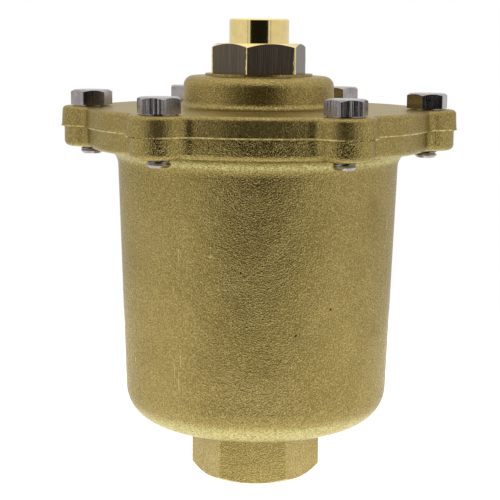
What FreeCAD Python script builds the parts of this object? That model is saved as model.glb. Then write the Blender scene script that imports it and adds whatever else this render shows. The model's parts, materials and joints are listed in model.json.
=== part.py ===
# Inverted-bucket steam trap, bottom inlet and top outlet, in millimetres.
#
# A cast bowl stands on a hexagonal inlet boss and is closed by a cover with six cap screws.
# Steam and water rise through the boss and the inlet tube into an upside-down bucket. The
# bucket hangs from a lever under the cover, and the lever lifts a valve against a seat that
# leads to the outlet fitting on top. With no steam in the bucket it stands on the bowl's
# floor and the valve is open: that is how the trap is drawn here.
#
# The origin is the centre of the inlet boss's lower face, +Z points up to the outlet, and
# the lever lies along X with its fulcrum on the -X side.

import FreeCAD, Part
import Sketcher
import os
import re
from math import pi

SIZES = [
    ("boss_flats", 39.9, "inlet hexagon, across flats"),
    ("boss_height", 20.0, "inlet hexagon, lower face to the underside of the bowl"),
    ("boss_bevel", 0.5, "inlet hexagon, how far its chamfer starts inside the flats"),
    ("boss_blend", 1.6, "casting radius between the hexagon and the bowl"),
    ("boss_edge", 0.7, "rounding of the hexagon's upright edges"),
    ("inlet_radius", 13.2, "inlet thread, wall radius (3/4 inch pipe)"),
    ("inlet_depth", 15.0, "inlet thread, depth"),
    ("inlet_bevel", 1.0, "inlet thread, bevel at its mouth"),
    ("bowl_radius", 46.1, "bowl, outer radius at its floor"),
    ("bowl_depth", 96.8, "bowl, underside to the underside of its rim"),
    ("bowl_corner", 12.2, "bowl, outer corner radius"),
    ("draft", 1.88, "casting draft in degrees"),
    ("wall", 4.0, "casting wall"),
    ("rim_blend", 6.0, "casting radius under the rim"),
    ("rim_thick", 7.3, "bowl rim, thickness"),
    ("rim_past", 0.5, "bowl rim, how far it passes the bolt circle"),
    ("rim_lobe", 9.6, "bowl rim, radius of the lobe round each screw"),
    ("lobe_blend", 5.0, "concave radius between a lobe and the round rim"),
    ("rim_round", 2.0, "rounding of the bowl rim's lower edge"),
    ("cover_round", 1.5, "rounding of the cover's upper edge"),
    ("cover_draft", 3.0, "casting draft of the cover's edge in degrees"),
    ("bolt_inset", 9.54, "bowl wall to the bolt circle"),
    ("bolt_size", 7.94, "cap screw, thread diameter"),
    ("bolt_length", 16.7, "cap screw, length under the head"),
    ("bolt_tip", 0.9, "cap screw, bevel at its tip"),
    ("bolt_flats", 12.7, "cap screw head, across flats"),
    ("bolt_edge", 0.25, "cap screw head, rounding of its upright edges"),
    ("bolt_head", 5.6, "cap screw head, height"),
    ("washer_face", 0.4, "height of the round face under a screw head"),
    ("bolt_play", 0.3, "radial play of a cap screw in the cover"),
    ("thread_play", 0.05, "radial play between a thread and its tapped hole"),
    ("cover_thick", 6.7, "cover, thickness at the rim"),
    ("cover_past", 1.2, "cover, how far it passes the bolt circle"),
    ("cover_lobe", 10.5, "cover, radius of the lobe round each screw"),
    ("dome_radius", 26.5, "cover boss, radius at its foot"),
    ("dome_rise", 11.0, "cover boss, height above the cover"),
    ("dome_round", 3.4, "cover boss, rounding of its upper edge"),
    ("dome_blend", 2.4, "cover boss, radius at its foot"),
    ("ring_radius", 18.75, "machined ring on the boss, radius"),
    ("ring_rise", 0.8, "machined ring on the boss, height"),
    ("web", 5.0, "metal between the bowl side of the cover and its outlet chamber"),
    ("chamber_margin", 1.4, "outlet chamber, how far it passes the orifice"),
    ("chamber_height", 4.6, "outlet chamber inside the cover boss, height"),
    ("chamber_round", 1.2, "outlet chamber, corner radius"),
    ("gasket_width", 5.5, "cover gasket, ring width"),
    ("gasket_thick", 1.0, "gaskets, thickness when clamped"),
    ("gasket_play", 0.3, "play round a gasket in its recess"),
    ("fitting_flats", 29.7, "outlet fitting hexagon, across flats"),
    ("fitting_turn", 18.7, "outlet fitting hexagon, direction of a corner in degrees"),
    ("fitting_edge", 0.5, "outlet fitting hexagon, worn rounding of its upright edges"),
    ("fitting_hex", 10.4, "outlet fitting hexagon, height"),
    ("nozzle_wall", 1.9, "outlet fitting nozzle, wall round its thread"),
    ("nozzle_rise", 8.4, "outlet fitting nozzle, height above the hexagon"),
    ("nozzle_bevel", 0.5, "outlet fitting nozzle, bevel"),
    ("shank_radius", 10.48, "outlet fitting shank thread, radius (1/2 inch pipe)"),
    ("shank_length", 8.0, "outlet fitting shank, length"),
    ("shank_bevel", 0.8, "outlet fitting shank, bevel at its end"),
    ("outlet_radius", 8.5, "outlet thread, wall radius (3/8 inch pipe)"),
    ("outlet_depth", 11.0, "outlet thread, depth"),
    ("outlet_bevel", 0.6, "outlet thread, bevel at its mouth"),
    ("passage_radius", 5.5, "outlet fitting passage, radius"),
    ("seat_flats", 12.0, "valve seat hexagon, across flats"),
    ("seat_head", 4.5, "valve seat hexagon, height"),
    ("seat_thread", 5.0, "valve seat thread, radius"),
    ("seat_nose", 3.0, "valve seat nose, radius"),
    ("nose_height", 0.8, "valve seat nose, height"),
    ("nose_taper", 0.6, "valve seat nose, how far it narrows"),
    ("orifice", 1.6, "valve seat orifice, radius"),
    ("valve_radius", 3.2, "valve head, ball radius"),
    ("valve_stand", 2.8, "ball centre above the lever's middle plane"),
    ("shut_gap", 0.12, "gap left between the ball and the seat when shut"),
    ("valve_stem", 1.5, "valve head stem, radius"),
    ("valve_foot", 2.5, "valve head stem, radius of its riveted foot"),
    ("foot_height", 1.0, "valve head stem, height of its riveted foot"),
    ("fulcrum_inset", 21.3, "lever, fulcrum to the bowl's wall behind it"),
    ("valve_arm", 9.0, "lever, fulcrum to valve"),
    ("lever_width", 8.0, "lever, width"),
    ("lever_thick", 1.6, "lever, strip thickness"),
    ("open_angle", 9.0, "lever, degrees below its shut position"),
    ("pin_radius", 1.6, "fulcrum pin, radius"),
    ("pivot_play", 0.05, "radial play of the lever on the fulcrum pin"),
    ("hook_play", 0.3, "radial play of the hanger pin in the lever's hook"),
    ("side_play", 0.6, "play beside the lever between its bracket's ears"),
    ("bracket_thick", 1.5, "lever bracket, sheet thickness"),
    ("bracket_edge", 0.7, "lever bracket, metal outside each lock washer"),
    ("ear_radius", 3.6, "lever bracket, radius round the fulcrum pin"),
    ("ear_round", 3.0, "lever bracket, corner radius of its ears"),
    ("bracket_round", 2.5, "lever bracket, corner radius of its plate"),
    ("screw_back", 8.0, "bracket screws, distance behind the fulcrum"),
    ("screw_radius", 2.0, "bracket screws, thread radius"),
    ("screw_head", 3.5, "bracket screws, head radius"),
    ("screw_cap", 2.4, "bracket screws, head height"),
    ("screw_round", 1.0, "bracket screws, rounding of the head"),
    ("skin", 2.0, "cover metal left beyond the bracket screws' blind holes"),
    ("slot_width", 1.1, "bracket screws, slot width"),
    ("slot_depth", 1.2, "bracket screws, slot depth"),
    ("lock_thick", 0.8, "lock washers, thickness"),
    ("lock_radius", 3.6, "lock washers, outer radius"),
    ("lock_gap", 0.8, "lock washers, width of the split"),
    ("clip_radius", 3.1, "pin clips, outer radius"),
    ("clip_thick", 0.7, "pin clips, thickness"),
    ("clip_seat", 1.2, "fulcrum pin, radius in its clip grooves"),
    ("clip_mouth", 1.0, "pin clips, half width of the opening"),
    ("pin_end", 1.1, "fulcrum pin, length past each clip"),
    ("pin_bevel", 0.4, "pins, bevel at each end"),
    ("part_gap", 0.3, "gap between pieces that pass or stand clear"),
    ("bucket_inset", 0.2, "bucket, how far it stands inside the flat of the bowl's floor"),
    ("bucket_sheet", 0.8, "bucket, sheet thickness"),
    ("bucket_round", 4.0, "bucket, rounding of its crown"),
    ("bucket_lip", 2.4, "bucket, width of the lip under its weight"),
    ("vent_radius", 1.2, "bucket, vent hole radius"),
    ("vent_offset", 19.0, "bucket, vent hole distance from its axis"),
    ("hang", 9.0, "hanger pin above the bucket's crown"),
    ("hanger_sheet", 1.2, "hanger, sheet thickness"),
    ("hanger_half", 6.0, "hanger, half length along the lever"),
    ("hanger_ear", 4.5, "hanger, half width of its ears along the lever"),
    ("ear_top", 1.7, "hanger, metal above the hanger pin"),
    ("ear_corner", 2.4, "hanger, corner radius of its ears"),
    ("foot_corner", 2.0, "hanger, corner radius of its foot"),
    ("rivet_edge", 0.7, "hanger, metal outside each rivet's head"),
    ("hanger_play", 1.0, "play beside the lever between the hanger's ears"),
    ("hanger_pin", 1.5, "hanger pin, radius"),
    ("hanger_head", 2.2, "hanger pin, radius of its peened ends"),
    ("peen", 0.9, "hanger pin and rivets, height of a peened end"),
    ("peen_round", 0.5, "hanger rivets, rounding of the peened end"),
    ("rivet_gap", 1.5, "hanger rivets, from an ear to a rivet's head"),
    ("rivet_radius", 1.3, "hanger rivets, shank radius"),
    ("rivet_head", 2.5, "hanger rivets, head radius"),
    ("rivet_cap", 1.2, "hanger rivets, head height"),
    ("rivet_round", 0.95, "hanger rivets, rounding of the head"),
    ("weight_width", 3.4, "bucket weight, ring width"),
    ("weight_height", 6.5, "bucket weight, ring height"),
    ("tube_radius", 8.5, "inlet tube, outer radius"),
    ("tube_wall", 1.3, "inlet tube, wall"),
    ("tube_rise", 55.0, "inlet tube, height above the bowl's floor"),
    ("collar_radius", 10.8, "inlet tube collar, radius"),
    ("collar_height", 2.2, "inlet tube collar, height"),
    ("collar_round", 0.6, "inlet tube collar, rounding"),
]
VALUES = {name: value for name, value, meaning in SIZES}

# How far each cover screw was turned home, in degrees: no two heads stand alike.
HEAD_TURNS = [12.2, 37.8, 33.1, 15.5, 47.8, 16.1]
SCREW_COUNT = len(HEAD_TURNS)
BRACKET_SCREW_TURNS = [25, 70]
LOCK_WASHER_TURNS = [150, 40]

# A cutting outline passes the metal that it cuts by this much.
PAST = 1
# Shares of a hexagon's flats or half flats: just outside its corners, the flat left on top of
# a screw head (and the washer face under it), and the flat left on top of the outlet fitting.
BEYOND_CORNERS = 0.6
HEAD_FLAT = 0.95
FITTING_FLAT = 0.985

# Heights and radii that several pieces share, as expressions of the sizes above.
FLOOR = "(boss_height + wall)"
RIM_LOW = "(boss_height + bowl_depth)"
JOINT = f"({RIM_LOW} + rim_thick)"
COVER_TOP = f"({JOINT} + cover_thick)"
DOME_TOP = f"({COVER_TOP} + dome_rise)"
FITTING_SEAT = f"({DOME_TOP} + ring_rise)"
NOZZLE = "(outlet_radius + nozzle_wall)"
WALL_TOP = "(bowl_radius + bowl_depth * tan(draft))"
BORE_TOP = f"({WALL_TOP} + rim_thick * tan(draft) - wall)"
BOLT_CIRCLE = f"({WALL_TOP} + bolt_inset)"
LEVER_ARM = f"({BORE_TOP} - fulcrum_inset)"
SEAT_OFFSET = f"({LEVER_ARM} - valve_arm)"
CHAMBER = f"max({SEAT_OFFSET} + orifice + chamber_margin; shank_radius + wall / 2)"
SEAT_FACE = f"({JOINT} - gasket_thick - seat_head - nose_height)"
PIVOT_X = f"(-{LEVER_ARM})"
PIVOT_Z = f"({SEAT_FACE} - shut_gap - sqrt(valve_radius ^ 2 - orifice ^ 2) - valve_stand)"
HOOK_X = f"({PIVOT_X} + {LEVER_ARM} * cos(open_angle))"
HOOK_Z = f"({PIVOT_Z} - {LEVER_ARM} * sin(open_angle))"
EAR_INNER = "(lever_width / 2 + side_play)"
EAR_OUTER = f"({EAR_INNER} + bracket_thick)"
BRACKET_LOW = f"({JOINT} - bracket_thick)"
SCREW_X = f"({PIVOT_X} - screw_back)"
SCREW_Y = f"({EAR_OUTER} + part_gap + lock_radius)"
SCREW_GRIP = "(cover_thick - skin - part_gap)"
BUCKET = "(bowl_radius - bowl_corner - bucket_inset)"
HANGER_INNER = "(lever_width / 2 + hanger_play)"
HANGER_OUTER = f"({HANGER_INNER} + hanger_sheet)"
RIVET_Y = f"({HANGER_OUTER} + rivet_gap + rivet_head)"
BUCKET_HIGH = "(-hang)"
BUCKET_LOW = f"({FLOOR} + part_gap - {HOOK_Z})"

doc = FreeCAD.newDocument("steam_trap")
sheet = doc.addObject("Spreadsheet::Sheet", "sizes")


def fill_sheet():
    """Write every size into the sheet, with its name and its meaning beside it."""
    for row, (name, value, meaning) in enumerate(SIZES, 1):
        sheet.set(f"A{row}", name)
        sheet.set(f"B{row}", str(value))
        sheet.set(f"C{row}", meaning)
        sheet.setAlias(f"B{row}", name)
    doc.recompute()


def size(text):
    """Point each size's name in an expression at its cell in the sheet."""
    return re.sub(r"[a-z]+(?:_[a-z]+)*", lambda word: f"sizes.{word.group()}"
                  if word.group() in VALUES else word.group(), text)


def number(text):
    """The present value of an expression of sizes."""
    return float(sheet.evalExpression(size(text)))


# ---------------------------------------------------------------- sketches and features

def new_body(label, x=None, z=None, tilt=None):
    """A body of its own, at (x, 0, z) and tilted about Y when those are given."""
    body = doc.addObject("PartDesign::Body", label)
    body.Label = label
    if tilt:
        turn = FreeCAD.Rotation(FreeCAD.Vector(0, 1, 0), number(tilt))
        body.Placement = FreeCAD.Placement(FreeCAD.Vector(), turn)
        body.setExpression("Placement.Rotation.Angle", size(tilt))
    for axis, place in (("x", x), ("z", z)):
        if place:
            body.setExpression(f"Placement.Base.{axis}", size(place))
    return body


def origin_part(body, role):
    """The body's own origin plane or axis with that role."""
    return next(item for item in body.Origin.OriginFeatures if item.Role == role)


def new_sketch(body, name, plane, offset=None):
    sketch = body.newObject("Sketcher::SketchObject", name)
    sketch.AttachmentSupport = [(origin_part(body, plane), "")]
    sketch.MapMode = "FlatFace"
    if offset:
        sketch.setExpression("AttachmentOffset.Base.z", size(offset))
    return sketch


def bind(sketch, kind, expression, *geometry):
    """Add a dimension to the sketch and tie it to an expression of sizes."""
    index = sketch.addConstraint(Sketcher.Constraint(kind, *geometry, number(expression)))
    sketch.setExpression(f"Constraints[{index}]", size(expression))


def place_point(sketch, geometry, end, x, y):
    """Fix one point of the sketch at (x, y), on an axis where the expression is 0."""
    for kind, value, axis in (("DistanceX", x, -2), ("DistanceY", y, -1)):
        if value == "0":
            sketch.addConstraint(Sketcher.Constraint("PointOnObject", geometry, end, axis))
        else:
            bind(sketch, kind, value, -1, 1, geometry, end)


def outline(body, name, points, rounds=None, plane="XZ_Plane", offset=None):
    """A closed outline through the points, with rounds = {point number: radius}."""
    sketch = new_sketch(body, name, plane, offset)
    places = [FreeCAD.Vector(number(x), number(y), 0) for x, y in points]
    count = len(points)
    for index in range(count):
        line = Part.LineSegment(places[index], places[(index + 1) % count])
        sketch.addGeometry(line, False)
    for index in range(count):
        sketch.addConstraint(Sketcher.Constraint("Coincident", index, 2, (index + 1) % count, 1))
    for index, (x, y) in enumerate(points):
        place_point(sketch, index, 1, x, y)
    for index, radius in (rounds or {}).items():
        arc = sketch.GeometryCount
        sketch.fillet(index, 1, number(radius), True, True)
        bind(sketch, "Radius", radius, arc)
    return sketch


def circle(body, name, radius, x="0", y="0", plane="XY_Plane", offset=None):
    sketch = new_sketch(body, name, plane, offset)
    centre = FreeCAD.Vector(number(x), number(y), 0)
    sketch.addGeometry(Part.Circle(centre, FreeCAD.Vector(0, 0, 1), number(radius)), False)
    place_point(sketch, 0, 3, x, y)
    bind(sketch, "Radius", radius, 0)
    return sketch


def hexagon(body, name, flats, corner="0", x="0", offset=None):
    """A hexagon in the XY plane with one corner in the direction given in degrees."""
    points = [(f"{x} + {flats} / (2 * cos(30)) * cos({corner} + {60 * side})",
               f"{flats} / (2 * cos(30)) * sin({corner} + {60 * side})") for side in range(6)]
    return outline(body, name, points, plane="XY_Plane", offset=offset)


def revolve(body, name, sketch, cut=False, axis="Z_Axis"):
    kind = "PartDesign::Groove" if cut else "PartDesign::Revolution"
    feature = body.newObject(kind, name)
    feature.Profile = sketch
    feature.ReferenceAxis = (origin_part(body, axis), [""])
    feature.Angle = 360
    doc.recompute()
    return feature


def extrude(body, name, sketch, length, cut=False, back=False, both=False):
    """Pad or pocket a sketch along its normal, against it, or half to each side."""
    feature = body.newObject("PartDesign::Pocket" if cut else "PartDesign::Pad", name)
    feature.Profile = sketch
    feature.setExpression("Length", size(length))
    feature.Midplane = both
    # A pocket cuts against its sketch's normal, so "along the normal" means reversed.
    feature.Reversed = (cut != back) and not both
    doc.recompute()
    return feature


def repeat_round(body, name, feature, count):
    """Repeat a feature evenly round the Z axis."""
    pattern = body.newObject("PartDesign::PolarPattern", name)
    pattern.Originals = [feature]
    pattern.Axis = (origin_part(body, "Z_Axis"), [""])
    pattern.Angle = 360
    pattern.Occurrences = count
    body.Tip = pattern
    doc.recompute()
    return pattern


def round_edges(body, name, wanted, radius):
    """Round the edges of the body's latest feature for which wanted(edge) is true."""
    base = body.Tip
    names = [f"Edge{index}" for index, edge in enumerate(base.Shape.Edges, 1) if wanted(edge)]
    feature = body.newObject("PartDesign::Fillet", name)
    feature.Base = (base, names)
    feature.setExpression("Radius", size(radius))
    doc.recompute()
    return feature


def copies(label, master, places):
    """Several placed copies of one body, as one node. Each place is (x, y, z, turn, axis)."""
    links = []
    for index, (x, y, z, turn, axis) in enumerate(places, 1):
        link = doc.addObject("App::Link", f"{master.Name}_{index}")
        link.LinkedObject = master
        rotation = FreeCAD.Rotation(FreeCAD.Vector(*axis), turn)
        link.Placement = FreeCAD.Placement(FreeCAD.Vector(), rotation)
        for letter, place in (("x", x), ("y", y), ("z", z)):
            link.setExpression(f"Placement.Base.{letter}", size(place))
        links.append(link)
    group = doc.addObject("Part::Compound", label)
    group.Label = label
    group.Links = links
    doc.recompute()
    return group


# ---------------------------------------------------------------- ways to find edges

NEAR = 0.01
UP = (0, 0, 1)


def is_upright(edge):
    start, end = edge.firstVertex().Point, edge.lastVertex().Point
    level = abs(start.x - end.x) + abs(start.y - end.y)
    return level < NEAR and abs(start.z - end.z) > NEAR


def rises(edge, height):
    return abs(edge.BoundBox.ZLength - height) < NEAR


def lies_at(edge, height):
    box = edge.BoundBox
    return abs(box.ZMin - height) < NEAR and abs(box.ZMax - height) < NEAR


def reach(edge):
    """How far the edge's middle lies from the Z axis."""
    middle = edge.valueAt((edge.FirstParameter + edge.LastParameter) / 2)
    return (middle.x ** 2 + middle.y ** 2) ** 0.5


# ---------------------------------------------------------------- castings

def lobed_rim(body, low, height, lobe, sharp_z, rounding, taper="0"):
    """Add six lobes to a round rim, blend them in and round the rim's outer edge."""
    start = circle(body, "lobe_outline", lobe, x=BOLT_CIRCLE, offset=low)
    boss = extrude(body, "lobe", start, height)
    boss.setExpression("TaperAngle", size(f"-({taper})"))
    repeat_round(body, "lobes", boss, SCREW_COUNT)
    outside = number(WALL_TOP) + NEAR
    round_edges(body, "lobe_blends", lambda edge: rises(edge, number(height))
                and outside < reach(edge) < number(BOLT_CIRCLE) + number(lobe) / 2, "lobe_blend")
    round_edges(body, "rim_edge", lambda edge: lies_at(edge, number(sharp_z))
                and reach(edge) > outside + number("rim_blend"), rounding)


def screw_holes(body, radius, top, depth):
    mark = circle(body, "screw_hole_outline", radius, x=BOLT_CIRCLE, offset=top)
    hole = extrude(body, "screw_hole", mark, depth, cut=True, back=True)
    repeat_round(body, "screw_holes", hole, SCREW_COUNT)


def make_body():
    """The bowl: hexagonal inlet boss, tapered wall and lobed rim, cast in one."""
    body = new_body("body")
    rim = f"{BOLT_CIRCLE} + rim_past"
    shape = outline(body, "bowl_outline",
                    [("0", "boss_height"), ("bowl_radius", "boss_height"), (WALL_TOP, RIM_LOW),
                     (rim, RIM_LOW), (rim, JOINT), ("0", JOINT)],
                    {1: "bowl_corner", 2: "rim_blend"})
    revolve(body, "bowl", shape)
    lobed_rim(body, RIM_LOW, "rim_thick", "rim_lobe", RIM_LOW, "rim_round")
    boss = hexagon(body, "boss_outline", "boss_flats")
    extrude(body, "boss", boss, "boss_height + wall / 2")
    boss_reach = number("boss_flats") / 2
    corner = f"boss_flats * {BEYOND_CORNERS}"
    round_edges(body, "boss_edges", lambda edge: is_upright(edge)
                and boss_reach < reach(edge) < number(corner), "boss_edge")
    round_edges(body, "boss_blend_edges", lambda edge: lies_at(edge, number("boss_height"))
                and reach(edge) < number(corner), "boss_blend")
    flat = "(boss_flats / 2 - boss_bevel)"
    chamfer = outline(body, "boss_chamfer_outline",
                      [(flat, "0"), (corner, "0"), (corner, f"({corner} - {flat}) * tan(30)")])
    revolve(body, "boss_chamfer_cut", chamfer, cut=True)
    foot = "bowl_radius - wall + wall * tan(draft)"
    hollow = outline(body, "hollow_outline",
                     [("0", FLOOR), (foot, FLOOR), (BORE_TOP, JOINT), ("0", JOINT)],
                     {1: "bowl_corner - wall"})
    revolve(body, "hollow", hollow, cut=True)
    recess = circle(body, "gasket_recess_outline",
                    f"{BORE_TOP} + gasket_width + gasket_play", offset=JOINT)
    extrude(body, "gasket_recess", recess, "gasket_thick", cut=True, back=True)
    inlet = outline(body, "inlet_outline",
                    [("0", "0"), ("inlet_radius + inlet_bevel", "0"), ("inlet_radius", "inlet_bevel"),
                     ("inlet_radius", "inlet_depth"), ("tube_radius + thread_play", "inlet_depth"),
                     ("tube_radius + thread_play", f"{FLOOR} + {PAST}"), ("0", f"{FLOOR} + {PAST}")])
    revolve(body, "inlet", inlet, cut=True)
    screw_holes(body, "bolt_size / 2 + thread_play", JOINT, f"rim_thick + {PAST}")
    return body


def make_cover():
    """The cover: lobed rim, central boss, outlet chamber and the holes for what it carries."""
    body = new_body("cover")
    rim = f"{BOLT_CIRCLE} + cover_past"
    dome = "dome_radius - dome_rise * tan(draft)"
    shape = outline(body, "cover_outline",
                    [("0", JOINT), (rim, JOINT),
                     (f"{rim} - cover_thick * tan(cover_draft)", COVER_TOP),
                     ("dome_radius", COVER_TOP), (dome, DOME_TOP),
                     ("ring_radius", DOME_TOP), ("ring_radius", FITTING_SEAT),
                     ("0", FITTING_SEAT)],
                    {3: "dome_blend", 4: "dome_round"})
    revolve(body, "cover_plate", shape)
    lobed_rim(body, JOINT, "cover_thick", "cover_lobe", COVER_TOP, "cover_round", "cover_draft")
    thread = "shank_radius + thread_play"
    recess = "fitting_flats / 2 - gasket_play"
    chamber = outline(body, "outlet_outline",
                      [("0", f"{JOINT} + web"), (CHAMBER, f"{JOINT} + web"),
                       (CHAMBER, f"{JOINT} + web + chamber_height"),
                       (thread, f"{JOINT} + web + chamber_height"),
                       (thread, f"{FITTING_SEAT} - gasket_thick"),
                       (recess, f"{FITTING_SEAT} - gasket_thick"),
                       (recess, FITTING_SEAT), ("0", FITTING_SEAT)],
                      {1: "chamber_round", 2: "chamber_round"})
    revolve(body, "outlet_chamber", chamber, cut=True)
    seat_hole = circle(body, "seat_hole_outline", "seat_thread + thread_play", x=f"-{SEAT_OFFSET}",
                       offset=JOINT)
    extrude(body, "seat_hole", seat_hole, "web", cut=True)
    for side in ("", "-"):
        name = "bracket_hole_far" if side else "bracket_hole_near"
        hole = circle(body, f"{name}_outline", "screw_radius + thread_play", x=SCREW_X,
                      y=f"{side}{SCREW_Y}", offset=JOINT)
        extrude(body, name, hole, f"{SCREW_GRIP} + part_gap", cut=True)
    screw_holes(body, "bolt_size / 2 + bolt_play", COVER_TOP, f"cover_thick + {PAST}")
    return body


# ---------------------------------------------------------------- outside fasteners and seals

def ring(label, inner, outer, low, high):
    """A flat ring about the Z axis."""
    body = new_body(label)
    shape = outline(body, "ring_outline",
                    [(inner, low), (outer, low), (outer, high), (inner, high)])
    revolve(body, "ring", shape)
    return body


def hex_cap(body, name, flats, low, height, flat_share, edge_radius, corner="0"):
    """A hexagonal head with rounded upright edges and its upper corners chamfered at 30 degrees."""
    extrude(body, name, hexagon(body, f"{name}_outline", flats, corner, offset=low), height)
    inside = number(flats) / 2
    round_edges(body, f"{name}_edges", lambda edge: is_upright(edge) and reach(edge) > inside + NEAR
                and abs(edge.Length - number(height)) < NEAR, edge_radius)
    flat = f"{flats} / 2 * {flat_share}"
    far = f"{flats} * {BEYOND_CORNERS}"
    cut = outline(body, f"{name}_chamfer_outline",
                  [(flat, f"{low} + {height}"), (far, f"{low} + {height}"),
                   (far, f"{low} + {height} - ({far} - {flat}) * tan(30)")])
    return revolve(body, f"{name}_chamfer", cut, cut=True)


def make_cover_bolts():
    """Six hexagon cap screws through the cover into the bowl's rim, as one node."""
    bolt = new_body("bolt")
    core = "bolt_size / 2"
    face = f"bolt_flats / 2 * {HEAD_FLAT}"
    shape = outline(bolt, "bolt_outline",
                    [("0", "-bolt_length"), (f"{core} - bolt_tip", "-bolt_length"),
                     (core, "bolt_tip - bolt_length"), (core, "0"), (face, "0"),
                     (face, "washer_face"), ("0", "washer_face")])
    revolve(bolt, "bolt_shank", shape)
    hex_cap(bolt, "bolt_hexagon", "bolt_flats", "washer_face", "(bolt_head - washer_face)",
            HEAD_FLAT, "bolt_edge")
    step = 360 // SCREW_COUNT
    places = [(f"{BOLT_CIRCLE} * cos({step * place})", f"{BOLT_CIRCLE} * sin({step * place})",
               COVER_TOP, turn, UP) for place, turn in enumerate(HEAD_TURNS)]
    return copies("cover_bolts", bolt, places)


def make_outlet_fitting():
    """The screwed brass fitting on top: shank, hexagon and nozzle with the outlet thread."""
    body = new_body("outlet_fitting")
    low = f"{FITTING_SEAT} - shank_length"
    shoulder = f"{FITTING_SEAT} + fitting_hex"
    top = f"{shoulder} + nozzle_rise"
    shape = outline(body, "fitting_outline",
                    [("0", low), ("shank_radius - shank_bevel", low),
                     ("shank_radius", f"{low} + shank_bevel"),
                     ("shank_radius", FITTING_SEAT), (NOZZLE, FITTING_SEAT),
                     (NOZZLE, f"{top} - nozzle_bevel"),
                     (f"{NOZZLE} - nozzle_bevel", top), ("0", top)])
    revolve(body, "fitting", shape)
    hex_cap(body, "fitting_hexagon", "fitting_flats", FITTING_SEAT, "fitting_hex", FITTING_FLAT,
            "fitting_edge", "fitting_turn")
    bore = outline(body, "outlet_outline",
                   [("0", low), ("passage_radius", low), ("passage_radius", f"{top} - outlet_depth"),
                    ("outlet_radius", f"{top} - outlet_depth"),
                    ("outlet_radius", f"{top} - outlet_bevel"),
                    ("outlet_radius + outlet_bevel", top), ("0", top)])
    revolve(body, "outlet_bore", bore, cut=True)
    return body


# ---------------------------------------------------------------- valve and lever

def make_valve_seat():
    """The hexagonal seat screwed up into the cover, with the orifice through it."""
    body = new_body("valve_seat", x=f"-{SEAT_OFFSET}")
    head_low = f"{SEAT_FACE} + nose_height"
    thread_low = f"{JOINT} - gasket_thick"
    extrude(body, "seat_hexagon",
            hexagon(body, "seat_hexagon_outline", "seat_flats", "30", offset=head_low), "seat_head")
    shape = outline(body, "seat_outline",
                    [("orifice", SEAT_FACE), ("seat_nose - nose_taper", SEAT_FACE),
                     ("seat_nose", head_low), ("seat_thread", thread_low),
                     ("seat_thread", f"{JOINT} + web - part_gap"),
                     ("orifice", f"{JOINT} + web - part_gap")])
    revolve(body, "seat", shape)
    hole = circle(body, "orifice_outline", "orifice", offset=SEAT_FACE)
    extrude(body, "orifice_hole", hole, f"{JOINT} + web - {SEAT_FACE}", cut=True)
    return body


def make_seat_gasket():
    body = new_body("seat_gasket", x=f"-{SEAT_OFFSET}")
    shape = outline(body, "ring_outline",
                    [("seat_thread + gasket_play", f"{JOINT} - gasket_thick"),
                     ("seat_flats / 2", f"{JOINT} - gasket_thick"), ("seat_flats / 2", JOINT),
                     ("seat_thread + gasket_play", JOINT)])
    revolve(body, "ring", shape)
    return body


def make_valve_head():
    """The ball that shuts the orifice, on a stem riveted through the lever."""
    body = new_body("valve_head", PIVOT_X, PIVOT_Z, "open_angle")
    arm = "valve_arm"
    half = "lever_thick / 2"
    ball = new_sketch(body, "ball_outline", "XZ_Plane")
    centre = FreeCAD.Vector(0, number("valve_stand"), 0)
    radius = number("valve_radius")
    whole = Part.Circle(centre, FreeCAD.Vector(0, 0, 1), radius)
    arc = Part.ArcOfCircle(whole, -pi / 2, pi / 2)
    ball.addGeometry(arc, False)
    ball.addGeometry(Part.LineSegment(centre + FreeCAD.Vector(0, radius, 0),
                                      centre - FreeCAD.Vector(0, radius, 0)), False)
    ball.addConstraint(Sketcher.Constraint("Coincident", 0, 2, 1, 1))
    ball.addConstraint(Sketcher.Constraint("Coincident", 0, 1, 1, 2))
    place_point(ball, 0, 3, "0", "valve_stand")
    ball.addConstraint(Sketcher.Constraint("PointOnObject", 0, 3, 1))
    ball.addConstraint(Sketcher.Constraint("Vertical", 1))
    bind(ball, "Radius", "valve_radius", 0)
    ball.setExpression("AttachmentOffset.Base.x", size(arm))
    turned = body.newObject("PartDesign::Revolution", "ball")
    turned.Profile = ball
    turned.ReferenceAxis = (ball, ["V_Axis"])
    turned.Angle = 360
    doc.recompute()
    near = f"{arm} - valve_radius - {PAST}"
    far = f"{arm} + valve_radius + {PAST}"
    low = f"{half} - 2 * valve_radius"
    cut = outline(body, "underside_outline", [(near, low), (far, low), (far, half), (near, half)])
    extrude(body, "underside", cut, f"2 * (valve_radius + {PAST})", cut=True, both=True)
    stem = circle(body, "stem_outline", "valve_stem", x=arm, offset=half)
    extrude(body, "stem", stem, "lever_thick", back=True)
    foot = circle(body, "foot_outline", "valve_foot", x=arm, offset=f"-({half})")
    extrude(body, "foot", foot, "foot_height", back=True)
    return body


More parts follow.
